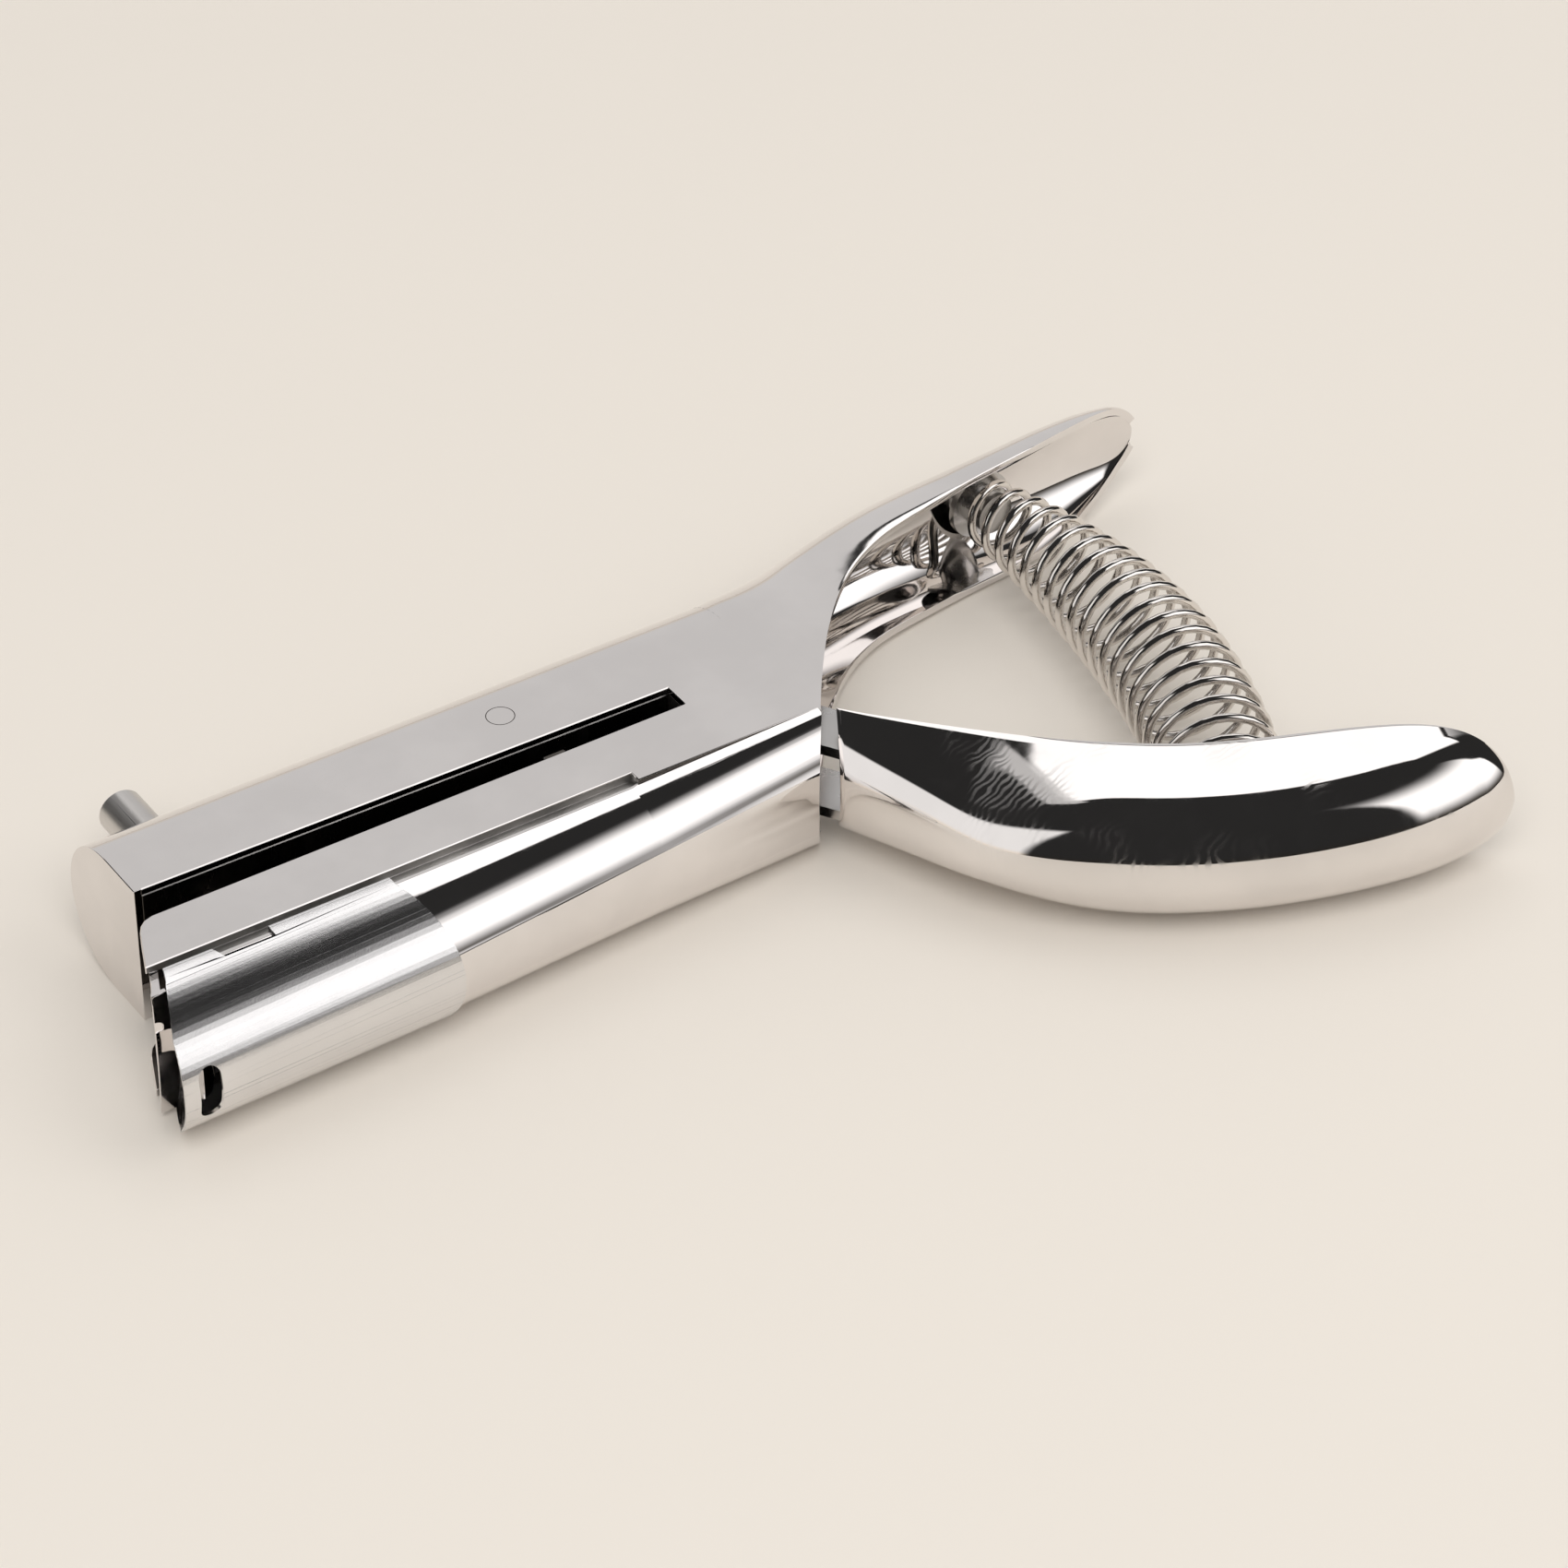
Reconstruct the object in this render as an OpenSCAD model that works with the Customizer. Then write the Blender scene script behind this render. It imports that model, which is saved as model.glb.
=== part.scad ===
// Long reach hand punch for paper tickets, with plier handles, a deep
// paper throat, a sliding chip tray and a coil spring between the handles.
// Millimetres. The far cheek lies on the table at z = 0. The pivot axis
// stands at x = 0, y = 0. +X runs to the handle ends, +Y to the spine.

/* [Body] */

// Width over the two cheeks
body_w = 27; // [26:0.5:30]
// Sheet thickness of the body and the upper handle
sheet_t = 1.4; // [1:0.1:1.6]
// Height of the round spine above the pivot
spine_y = 16.1; // [15:0.1:18]
// Front face of the upper jaw, before the pivot
front_x = -73; // [-78:0.5:-68]

/* [Throat] */

// Upper edge of the throat at the front, below the pivot
throat_top = 7.3; // [7:0.1:8]
// Drop of the upper edge from front to back
throat_drop = 1.5; // [0.5:0.1:2]
// Lower edge of the throat, below the pivot
throat_low = 14.05; // [13.5:0.1:15]
// Back of the throat, behind the pivot
throat_x = 27.5; // [20:0.5:28]
// Thickness of the inner frames
frame_t = 1; // [0.8:0.1:1.2]

/* [Punch] */

// Punch axis, before the pivot
punch_x = 57.4; // [50:0.2:60]
// Diameter of the punch rod
rod_d = 8; // [7:0.1:8.5]
// Diameter of the hole it cuts
hole_d = 6; // [4:0.1:6.5]
// Height of the rod's top above the pivot
rod_top = 28.2; // [27:0.2:32]
// Height of the cross pin above the pivot at rest
cross_y = 9.2; // [8.8:0.1:9.6]
// Diameter of the cross pin
cross_d = 3; // [2.5:0.1:3.2]
// Radial clearance of the running fits
run_fit = 0.04; // [0.02:0.01:0.08]
// Radial clearance between punch tip and die
die_fit = 0.03; // [0.02:0.01:0.06]

/* [Pivot and lever] */

// Diameter of the pivot rivet
rivet_d = 5; // [4:0.1:6]
// Clearance of the cross pin in the lever's fork slots
fork_fit = 0.18; // [0.15:0.01:0.25]
// Outer diameter of the lever's hub
hub_d = 9; // [8:0.2:10]
// Thickness of each lever plate
plate_t = 2; // [1.5:0.1:2]
// Gap between the two lever plates
plate_gap = 11; // [10.6:0.1:11.4]
// End play of the hub on each side
end_play = 0.1; // [0.05:0.01:0.2]

/* [Lower handle] */

// Width of the lower handle
grip_w = 26.4; // [25:0.2:26.6]
// Sheet thickness of the lower handle
grip_t = 1.2; // [1:0.1:1.4]
// Outward lean of the lower handle's sides, in degrees
grip_lean = 7.5; // [4:0.5:8]

/* [Spring] */

// Wire diameter
wire_d = 1.6; // [1.2:0.1:1.8]
// Number of curls
curls = 22; // [21:0.5:25]
// Mean coil radius at the upper end
coil_r1 = 5.2; // [4.8:0.1:5.6]
// Mean coil radius at the lower end
coil_r2 = 10.4; // [9.4:0.1:10.6]

/* [Chip tray] */

// Sheet thickness of the tray
tray_t = 0.6; // [0.5:0.05:0.7]
// Gap between the tray and the barrel
tray_fit = 0.1; // [0.08:0.01:0.15]
// Upper edge of the groove below the pivot
groove_y = 25; // [24.5:0.1:25.5]
// Width of the groove
groove_w = 2.2; // [2:0.1:2.4]
// Back end of the groove, behind the pivot
groove_x = 10; // [6:0.5:14]

/* [Hidden] */

mid = body_w / 2;
spine_r = body_w / 2;
spine_c = spine_y - spine_r;
barrel_r = body_w / 2 - tray_t - tray_fit;
groove_low = -groove_y - groove_w;
lip_t = tray_t;
lip_in = 1.5;
groove_in = lip_in + 0.15;
join_x = 46;
join_in = 0.16;
belly_x = -31.5;
belly_y = -28.1;
belly_rise = 4.15;
seat_gap = 1.8;
tray_rise = 1.6;
liner_z = sheet_t + frame_t;
liner_top = rivet_d / 2 + 1.2;
hub_len = plate_gap + 2 * plate_t + 3;
hub_z0 = mid - hub_len / 2;
$fa = 6;
$fs = 0.4;

// Upper edge of the throat at a station
function throat_up(x) =
    -throat_top - throat_drop * (x - front_x) / (throat_x - front_x);

// A point on a cubic curve
function bez(a, b, c, d, t) =
    pow(1 - t, 3) * a + 3 * pow(1 - t, 2) * t * b
    + 3 * (1 - t) * t * t * c + pow(t, 3) * d;

// Value of a table of [key, value] rows at x, by straight lines
function tab(rows, x, i = 0) =
    x <= rows[0][0] ? rows[0][1]
    : i >= len(rows) - 1 ? rows[len(rows) - 1][1]
    : x <= rows[i + 1][0]
        ? rows[i][1] + (rows[i + 1][1] - rows[i][1])
            * (x - rows[i][0]) / (rows[i + 1][0] - rows[i][0])
        : tab(rows, x, i + 1);

// Outline of the upper handle: rim, then crown
rim_rows = [
    [45.4, -27, 1, 1], [48.9, -22.8, 0.993, 1], [52.7, -17.6, 0.96, 0.972],
    [56.8, -12.2, 0.91, 0.922], [60.9, -7.1, 0.855, 0.867],
    [64.5, -3.1, 0.825, 0.837], [68.4, 0.8, 0.83, 0.842],
    [72.5, 4.1, 0.85, 0.862], [77.6, 7.3, 0.855, 0.867],
    [83, 9.6, 0.865, 0.877], [87.7, 10.8, 0.89, 0.9], [93.1, 11.8, 0.915, 0.92],
    [99.5, 12.9, 0.92, 0.925], [106.5, 14, 0.925, 0.93],
    [111.1, 14.5, 0.935, 0.94], [116.3, 15.1, 0.945, 0.95],
    [121.2, 16, 0.95, 0.95], [125.7, 17, 0.93, 0.93],
    [129.8, 18.1, 0.885, 0.885], [133.2, 19.3, 0.825, 0.825],
    [136, 20.4, 0.755, 0.755], [138.7, 21.4, 0.675, 0.675],
    [141.2, 22.4, 0.585, 0.585], [143.4, 23.2, 0.495, 0.495],
    [145.5, 23.9, 0.39, 0.39], [147.2, 24.3, 0.29, 0.29],
    [148.5, 24.3, 0.2, 0.2]
];
crown_rows = [
    [45.4, 0], [52.3, 0.6], [55.9, 1.18], [59.3, 1.94], [62.8, 2.93],
    [66.7, 4.08], [71, 5.21], [76, 6.65], [81.4, 7.96], [86.5, 8.91],
    [92.3, 9.6], [98.7, 10.1], [105.5, 10.3], [110.6, 10.3], [116, 10.4],
    [121, 10.6], [125.5, 10.8], [129.6, 11], [133, 11.1], [135.8, 11.1],
    [138.5, 11], [141, 10.8], [143.2, 10.6], [145.3, 10.4], [147.2, 10.2],
    [148.5, 10.1]
];

// Lower handle: crown and rim points, station by station
grip_rows = [
    [44, -36, 49.4, -26.6], [45.6, -40.2, 51.6, -29.4],
    [48.2, -46.6, 54.8, -33.2], [50.4, -52.6, 58.2, -37.2],
    [52.6, -58.6, 61.8, -41.3], [55.6, -64.4, 65.6, -45.8],
    [59.6, -69.8, 69.4, -50.2], [64.2, -74.8, 73.4, -54.6],
    [69.6, -79.6, 77.9, -58.8], [75.4, -84, 82.6, -62.8],
    [81.8, -87.8, 87.6, -66.4], [88.6, -91.2, 93.2, -69.8],
    [95.8, -94.2, 99.7, -73], [103.2, -96.6, 106.8, -76],
    [110.4, -98.5, 114.3, -79.1], [117.2, -99.7, 121, -82.2],
    [123.2, -100.2, 126.9, -85.3], [128, -100.2, 131.2, -88.4],
    [131.8, -99.8, 134.2, -91], [134.6, -99.2, 136.2, -93.2],
    [136.6, -98.5, 137.6, -95], [137.8, -97.9, 138.3, -96.3]
];
grip_half = [
    0.86, 0.86, 0.87, 0.88, 0.895, 0.915, 0.94, 0.965, 0.985, 1,
    1, 1, 1, 1, 1, 1, 0.985, 0.93, 0.83, 0.68, 0.5, 0.26
];

// One bent sheet: rows are [crown, rim, widest half width, arc depth,
// half width at the rim, angle at which the arc passes into the sides];
// fl is -1 where the crown is above the rim
module trough(rows, t, zc, seg, fl) {
    n = 2 * seg + 9;
    function side(c, r, w, h, wr, lean, k) =
        let (
            len2 = norm(r - c),
            d = (r - c) / len2,
            q = k < 4 ? (4 - k) / 4 : k > n - 5 ? (k - n + 5) / 4 : 0,
            sg = k < n / 2 ? 1 : -1,
            a = (90 - lean) * (1 - (k - 4) / seg),
            we = w * cos(lean),
            he = h * (1 - sin(lean)),
            z = q > 0 ? sg * (we - (we - wr) * (lean > 0 ? q : q * q)) : w * sin(a),
            u = q > 0 ? he + (len2 - he) * q : h * (1 - cos(a))
        )
        [c[0] + d[0] * u, c[1] + d[1] * u, zc + fl * z];
    function inner(row, k) =
        let (d = (row[1] - row[0]) / norm(row[1] - row[0]))
        side(row[0] + d * t, row[1], row[2] - t, row[3] - t, row[4] - t, row[5], k);
    pts = [
        for (row = rows)
            each concat(
                [for (k = [0 : n - 1])
                    side(row[0], row[1], row[2], row[3], row[4], row[5], k)],
                [for (k = [n - 1 : -1 : 0]) inner(row, k)]
            )
    ];
    m = 2 * n;
    last = (len(rows) - 1) * m;
    faces = concat(
        [for (k = [0 : n - 2]) each [
            [k, k + 1, m - 1 - k],
            [k + 1, m - 2 - k, m - 1 - k]
        ]],
        [for (k = [0 : n - 2]) each [
            [last + k, last + m - 1 - k, last + k + 1],
            [last + k + 1, last + m - 1 - k, last + m - 2 - k]
        ]],
        [for (i = [0 : len(rows) - 2], k = [0 : m - 1])
            let (p = i * m + k, q = i * m + (k + 1) % m)
            each [[p, p + m, q], [q, p + m, q + m]]]
    );
    polyhedron(points = pts, faces = faces, convexity = 8);
}

upper_rows = [
    for (row = rim_rows)
        let (
            x = row[0],
            yc = spine_y - join_in + tab(crown_rows, x),
            w = (mid - join_in) * row[3],
            h = min(w, yc - row[1] - 0.4)
        )
        [[x, yc], [x, row[1]], w, h, (mid - join_in) * row[2], 0]
];
lower_rows = [
    for (i = [0 : len(grip_rows) - 1])
        let (
            c = [grip_rows[i][0], grip_rows[i][1]],
            r = [grip_rows[i][2], grip_rows[i][3]],
            half = grip_w / 2 * grip_half[i],
            deep = norm(r - c),
            lean = grip_lean + 9 * max(0, min(1, (8 - i) / 3)),
            s = 1 - sin(lean),
            h = min((half - deep * tan(lean)) / (cos(lean) - s * tan(lean)), (deep - 0.4) / s),
            w = (half - (deep - h * s) * tan(lean)) / cos(lean)
        )
        [c, r, w, h, half, lean]
];

// Section of the jaw in the Y-Z plane, drawn for extrusion along X
module spine_section(r, half, y0) {
    translate([spine_c, mid])
        circle(r = r, $fn = 96);
    translate([y0, mid - half])
        square([spine_c - y0, 2 * half]);
}

module along_x(x0, x1) {
    translate([x0, 0, 0])
        multmatrix([[0, 0, 1, 0], [1, 0, 0, 0], [0, 1, 0, 0], [0, 0, 0, 1]])
            linear_extrude(height = x1 - x0)
                children();
}

// Side outline of the jaws; the front of the lower jaw slants forward
module jaw_outline() {
    difference() {
        polygon([
            [nose_back(), 30], [join_x, 30], [join_x, -27], [44.6, -29.4],
            [42.1, -32.8], [40.8, -34.6], [39.5, -36.3], [38.6, -44],
            [-34.6, -44], [-40, -28.4], [-76.6, -28.4], [-76.6, -26.5],
            [-81, -26.5], [-80.3, -24.7],
            [-77.8, -18.7], [-77, -16.9], [-76.1, -15.5], [-74.9, -14.5],
            [-73.4, -throat_low],
            [-60, -throat_low], [-60, throat_up(-60)],
            [nose_back(), throat_up(nose_back())]
        ]);
        polygon([
            [-70, throat_up(-70)], [throat_x, throat_up(throat_x)],
            [throat_x, -throat_low], [-70, -throat_low]
        ]);
    }
}

module body_shell() {
    color([0.78, 0.76, 0.75])
    union() {
        difference() {
            intersection() {
                translate([0, 0, -1])
                    linear_extrude(height = body_w + 2)
                        jaw_outline();
                union() {
                    along_x(-90, join_x)
                        spine_section(spine_r, mid, groove_low);
                    barrel(0, -90, join_x);
                }
            }
            difference() {
                union() {
                    along_x(-91, join_x + 1)
                        spine_section(spine_r - sheet_t, mid - sheet_t, -30);
                    barrel(sheet_t, -91, join_x + 1);
                }
                rails();
            }
            grooves();
            cylinder(d = rivet_d, h = 3 * body_w, center = true, $fn = 48);
            translate([-punch_x, 0, mid])
                rotate([-90, 0, 0])
                    cylinder(r = rod_d / 2 + 0.3, h = 40, $fn = 64);
        }
        trough(upper_rows, sheet_t, mid, 14, -1);
    }
}

// Barrel: the round belly of the lower jaw. It starts under the groove,
// rises to the back and widens to the cheeks behind the tray's way.
module barrel(inset, x0, x1) {
    barrel_part(inset, x0, groove_x - 1.5, barrel_r, barrel_r);
    barrel_part(inset, groove_x - 1.5, x1, barrel_r, mid);
}

// Depth of the barrel below the groove at a station
function barrel_deep(x) =
    groove_low - belly_y + barrel_r - (x - belly_x) * tan(belly_rise);

module barrel_part(inset, x0, x1, a0, a1) {
    hull() {
        belly_disc(x0, barrel_deep(x0) - inset, a0 - inset);
        belly_disc(x1, barrel_deep(x1) - inset, a1 - inset);
    }
}

// Thin elliptic disc across the jaw, level with the groove's lower edge
module belly_disc(x, b, a) {
    multmatrix([[0, 0, 1, x], [1, 0, 0, groove_low], [0, 1, 0, mid], [0, 0, 0, 1]])
        linear_extrude(height = 0.01)
            scale([b, a])
                circle(r = 1, $fn = 96);
}

module rails() {
    for (s = [0, 1])
        translate([-77, groove_low - sheet_t, s * (body_w - groove_in - sheet_t)])
            cube([77 + groove_x + sheet_t, groove_w + 2 * sheet_t,
                groove_in + sheet_t]);
}

module grooves() {
    for (s = [0, 1])
        translate([-91, groove_low, s == 0 ? -1 : body_w - groove_in])
            cube([91 + groove_x, groove_w, groove_in + 1]);
}

module nose_plate() {
    color([0.8, 0.78, 0.76])
    along_x(front_x, nose_back())
        difference() {
            spine_section(spine_r, mid, -throat_top);
            translate([-60, -1])
                square([60 - throat_top, 40]);
        }
}

// Front plate of the lower jaw, bent back under it as a short shelf
module jaw_front_plate() {
    color([0.8, 0.78, 0.76])
    union() {
        difference() {
            translate([0, 0, sheet_t])
                linear_extrude(height = body_w - 2 * sheet_t)
                    polygon([
                        [-73.7, -15.2], [-75.2, -15.2], [-80.0, -25.4],
                        [-82.1, -30.3], [-80.6, -30.3], [-78.5, -25.4]
                    ]);
            grooves();
        }
        intersection() {
            along_x(-83.4, -79.5)
                difference() {
                    translate([1.6, mid])
                        circle(r = 34.2, $fn = 180);
                    translate([1.6, mid])
                        circle(r = 33, $fn = 180);
                }
            translate([0, 0, sheet_t])
                linear_extrude(height = body_w - 2 * sheet_t)
                    polygon([[-82, -29.4], [-83.4, -33], [-79.5, -33], [-79.5, -29.4]]);
        }
    }
}

// Upper frame: a channel closed towards the paper
module upper_frame() {
    color([0.7, 0.7, 0.7])
    difference() {
        union() {
            intersection() {
                for (s = [0, 1])
                    translate([0, 0, s == 0 ? sheet_t : body_w - liner_z])
                        linear_extrude(height = frame_t)
                            polygon([
                                [nose_back(), liner_top], [nose_back(), throat_up(nose_back())],
                                [throat_x, throat_up(throat_x)], [throat_x, liner_top]
                            ]);
                along_x(front_x, throat_x + 1)
                    spine_section(spine_r - sheet_t, mid - sheet_t, -30);
            }
            translate([0, 0, liner_z])
                linear_extrude(height = body_w - 2 * liner_z)
                    polygon([
                        [nose_back(), throat_up(nose_back()) + frame_t],
                        [nose_back(), throat_up(nose_back())],
                        [throat_x, throat_up(throat_x)],
                        [throat_x, throat_up(throat_x) + frame_t]
                    ]);
        }
        cylinder(d = rivet_d, h = 3 * body_w, center = true, $fn = 48);
        translate([-punch_x, -20, mid])
            rotate([-90, 0, 0])
                cylinder(d = hole_d + 3, h = 18, $fn = 64);
    }
}

function nose_back() = front_x + sheet_t;

// Lower frame: a channel under the paper, with one small guide tab
module lower_frame() {
    color([0.7, 0.7, 0.7])
    difference() {
        union() {
            for (s = [0, 1])
                translate([-72, -23.2, s == 0 ? sheet_t : body_w - liner_z])
                    cube([72 + throat_x, 23.2 - throat_low, frame_t]);
            translate([-72, -throat_low - frame_t, liner_z])
                cube([72 + throat_x, frame_t, body_w - 2 * liner_z]);
            translate([1, -throat_low, body_w - liner_z])
                cube([4, 2.2, frame_t]);
        }
        translate([-punch_x, -20, mid])
            rotate([-90, 0, 0])
                cylinder(d = hole_d + 6, h = 18, $fn = 64);
    }
}

module throat_stop() {
    color([0.7, 0.7, 0.7])
    translate([throat_x, -17, sheet_t])
        cube([frame_t, 10.4, body_w - 2 * sheet_t]);
}

module upper_guide() {
    color([0.6, 0.6, 0.58])
    difference() {
        translate([-punch_x, 0, mid])
            rotate([-90, 0, 0])
                translate([0, 0, cross_y + cross_d / 2 + 0.35])
                    cylinder(d = plate_gap - 0.7, h = 6, $fn = 64);
        translate([-punch_x, 0, mid])
            rotate([-90, 0, 0])
                cylinder(r = rod_d / 2 + run_fit, h = 40, $fn = 64);
        difference() {
            translate([-punch_x - 20, 5, -1])
                cube([40, 20, body_w + 2]);
            along_x(-90, 0)
                spine_section(spine_r - sheet_t, mid - sheet_t, -5);
        }
    }
}

module lower_guide() {
    color([0.6, 0.6, 0.58])
    difference() {
        union() {
            translate([-punch_x - 7, throat_up(-punch_x - 7) + frame_t, liner_z])
                cube([14, -3.8 - throat_up(-punch_x - 7) - frame_t,
                    body_w - 2 * liner_z]);
            translate([-punch_x, throat_up(-punch_x) + 0.05, mid])
                rotate([-90, 0, 0])
                    cylinder(d = hole_d + 3, h = 3, $fn = 64);
        }
        translate([-punch_x, -12, mid])
            rotate([-90, 0, 0])
                cylinder(r = hole_d / 2 + run_fit, h = 20, $fn = 64);
    }
}

module anvil_block() {
    color([0.55, 0.55, 0.54])
    difference() {
        translate([-punch_x - 8, -22, liner_z])
            cube([16, 22 - throat_low - frame_t, body_w - 2 * liner_z]);
        translate([-punch_x, -25, mid])
            rotate([-90, 0, 0])
                cylinder(d = hole_d + 2, h = 20, $fn = 64);
        translate([-punch_x, -20, mid])
            rotate([-90, 0, 0])
                cylinder(d = hole_d + 6, h = 18, $fn = 64);
    }
}

module die_bush() {
    color([0.5, 0.5, 0.5])
    translate([-punch_x, -20, mid])
        rotate([-90, 0, 0])
            difference() {
                cylinder(d = hole_d + 6, h = 20 - throat_low - 0.15, $fn = 64);
                translate([0, 0, -1])
                    cylinder(r = hole_d / 2 + die_fit, h = 12, $fn = 64);
                translate([0, 0, -1])
                    cylinder(r = hole_d / 2 + 0.5, h = 4, $fn = 64);
            }
}

module pivot_rivet() {
    color([0.75, 0.73, 0.72])
    cylinder(d = rivet_d, h = body_w, $fn = 48);
}

module washer(z0) {
    translate([0, 0, z0])
        difference() {
            cylinder(d = hub_d + 1, h = hub_z0 - liner_z - end_play, $fn = 64);
            translate([0, 0, -1])
                cylinder(d = rivet_d, h = 10, $fn = 48);
        }
}

module washer_near() {
    color([0.8, 0.7, 0.45])
    washer(body_w - hub_z0 + end_play);
}

module washer_far() {
    color([0.8, 0.7, 0.45])
    washer(liner_z);
}

module lever_hub() {
    color([0.6, 0.6, 0.6])
    translate([0, 0, hub_z0])
        difference() {
            cylinder(d = hub_d, h = hub_len, $fn = 64);
            translate([0, 0, -1])
                cylinder(r = rivet_d / 2 + run_fit, h = hub_len + 2, $fn = 64);
        }
}

arm_a = atan(cross_y / punch_x);
fork_r = cross_d / 2 + fork_fit;

arm_l = norm([punch_x, cross_y]);

// A point of the arm, from the pivot towards the cross pin
function arm(u, v) =
    [-u * cos(arm_a) + v * sin(arm_a), u * sin(arm_a) + v * cos(arm_a)];

module lever_outline() {
    difference() {
        polygon(concat(
            [
                [24, 6], [34, 2], [42, -7], [52, -23], [61, -36], [67, -46],
                [62, -54], [55, -47.5], [47.6, -34.5], [41, -24],
                [34.5, -13.5], [30, -6.2], [0, -6.2], [-3.4, -5.4]
            ],
            [arm(40, -2.8)],
            [for (k = [-6 : 6])
                arm(arm_l + 1 + 2.8 * cos(15 * k), 2.8 * sin(15 * k))],
            [arm(40, 2.8), [0, 6.2]]
        ));
        circle(d = hub_d, $fn = 64);
        polygon([
            for (k = [-6 : 6])
                arm(arm_l + 0.4 + fork_r * cos(15 * k), fork_r * sin(15 * k)),
            for (k = [6 : 18])
                arm(arm_l - 1 + fork_r * cos(15 * k), fork_r * sin(15 * k))
        ]);
        saddle_bar();
    }
}

module saddle_bar() {
    polygon([[54.8, -41.2], [57.8, -39.8], [61.4, -46.6], [58.2, -48.4]]);
}

module lever_plate(z0) {
    translate([0, 0, z0])
        linear_extrude(height = plate_t)
            lever_outline();
}

module lever_plate_near() {
    color([0.62, 0.62, 0.64])
    lever_plate(mid + plate_gap / 2);
}

module lever_plate_far() {
    color([0.62, 0.62, 0.64])
    lever_plate(mid - plate_gap / 2 - plate_t);
}

// Saddle: a bar through both plates, welded inside the lower handle
module lever_saddle() {
    color([0.5, 0.5, 0.52])
    difference() {
        translate([0, 0, mid - grip_w * 0.345])
            linear_extrude(height = grip_w * 0.69)
                saddle_bar();
        lower_handle();
    }
}

module lower_handle() {
    color([0.78, 0.76, 0.75])
    trough(lower_rows, grip_t, mid, 14, 1);
}

// Spring: a curved, widening coil along an arc between the handles
path = [[112.6, 19.5], [116.4, -16], [115.2, -46], [91.5, -82.5]];

function path_p(t) =
    let (p = bez(path[0], path[1], path[2], path[3], t))
    [p[0], p[1], mid];
function path_d(t) =
    unit(path_p(t + 0.001) - path_p(t - 0.001));
function path_n(t) =
    let (d = path_d(t))
    [-d[1], d[0], 0];
// Share of the way along the path for a share of the turns
function lay(u) = 0.93 * u + 0.07 * u * u;
function coil_r(t) =
    coil_r1 + (coil_r2 - coil_r1) * sin(90 * min(1, t / 0.58))
    - 11 * max(0, t - 0.9);

ring_n = 8;
turn_steps = round(curls * ring_n);
coil_pts = [
    for (i = [0 : turn_steps])
        let (
            u = i / turn_steps,
            t = lay(u),
            a = 360 * i / ring_n,
            r = coil_r(t)
        )
        path_p(t) + r * (cos(a) * path_n(t) + sin(a) * [0, 0, 1])
];
wire_pts = concat(
    [coil_pts[0] - wire_d * path_d(0)],
    coil_pts,
    [coil_pts[turn_steps] + wire_d * path_d(1)]
);

function unit(v) = v / norm(v);

module spring() {
    n = len(wire_pts);
    tang = [
        for (i = [0 : n - 1])
            i == 0 ? path_d(0)
            : i == n - 1 ? path_d(1)
            : unit(wire_pts[i + 1] - wire_pts[i - 1])
    ];
    cen = [
        for (i = [0 : n - 1])
            let (t = lay(max(0, min(1, (i - 1) / turn_steps))))
            path_p(t)
    ];
    rings = [
        for (i = [0 : n - 1])
            let (
                out = unit(wire_pts[i] - cen[i]
                    - ((wire_pts[i] - cen[i]) * tang[i]) * tang[i]),
                side = cross(tang[i], out)
            )
            for (k = [0 : 5])
                wire_pts[i] + wire_d / 2
                    * (cos(60 * k) * out + sin(60 * k) * side)
    ];
    faces = concat(
        [[5, 4, 3, 2, 1, 0]],
        [[for (k = [0 : 5]) (n - 1) * 6 + k]],
        [for (i = [0 : n - 2], k = [0 : 5])
            let (p = i * 6 + k, q = i * 6 + (k + 1) % 6)
            each [[p, q, p + 6], [q, q + 6, p + 6]]]
    );
    color([0.75, 0.74, 0.7])
    polyhedron(points = rings, faces = faces, convexity = 12);
}

// Least distance between wire centres one curl apart, less the wire
gaps = [
    for (i = [0 : turn_steps - 10])
        min([for (j = [6 : 10]) norm(coil_pts[i + j] - coil_pts[i])]) - wire_d
];
echo(least_gap = min(gaps));

// Turned seats: a flange against the coil's end, a spigot inside it
module seat(p, d, r, flange, neck) {
    translate(p)
        rotate([0, 0, atan2(d[1], d[0])])
            rotate([0, 90, 0])
                union() {
                    cylinder(r = flange, h = 1.2, $fn = 64);
                    translate([0, 0, -4])
                        cylinder(r = r - wire_d / 2 - 0.6, h = 5, $fn = 64);
                    cylinder(d = 8, h = neck, $fn = 48);
                }
}

module upper_spring_seat() {
    color([0.55, 0.55, 0.55])
    difference() {
        seat(path_p(0) - wire_d * path_d(0), -path_d(0), coil_r1, coil_r1 + wire_d / 2 + 0.4, 4.3);
        trough(upper_rows, sheet_t, mid, 14, -1);
    }
}

module lower_spring_seat() {
    color([0.55, 0.55, 0.55])
    difference() {
        seat(path_p(1) + wire_d * path_d(1), path_d(1), coil_r2 - 1.4, grip_w / 2 - grip_t - seat_gap, 6.3);
        lower_handle();
    }
}

module punch_rod() {
    color([0.66, 0.65, 0.63])
    translate([-punch_x, 0, mid])
        rotate([-90, 0, 0])
            difference() {
                union() {
                    translate([0, 0, 5.5])
                        cylinder(d = rod_d, h = rod_top - 5.5, $fn = 64);
                    translate([0, 0, throat_up(-punch_x) + 1.2])
                        cylinder(d = hole_d, h = 8 - throat_up(-punch_x), $fn = 64);
                }
                translate([0, 0, cross_y])
                    rotate([90, 0, 0])
                        cylinder(d = cross_d, h = 40, center = true, $fn = 48);
            }
}

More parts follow.
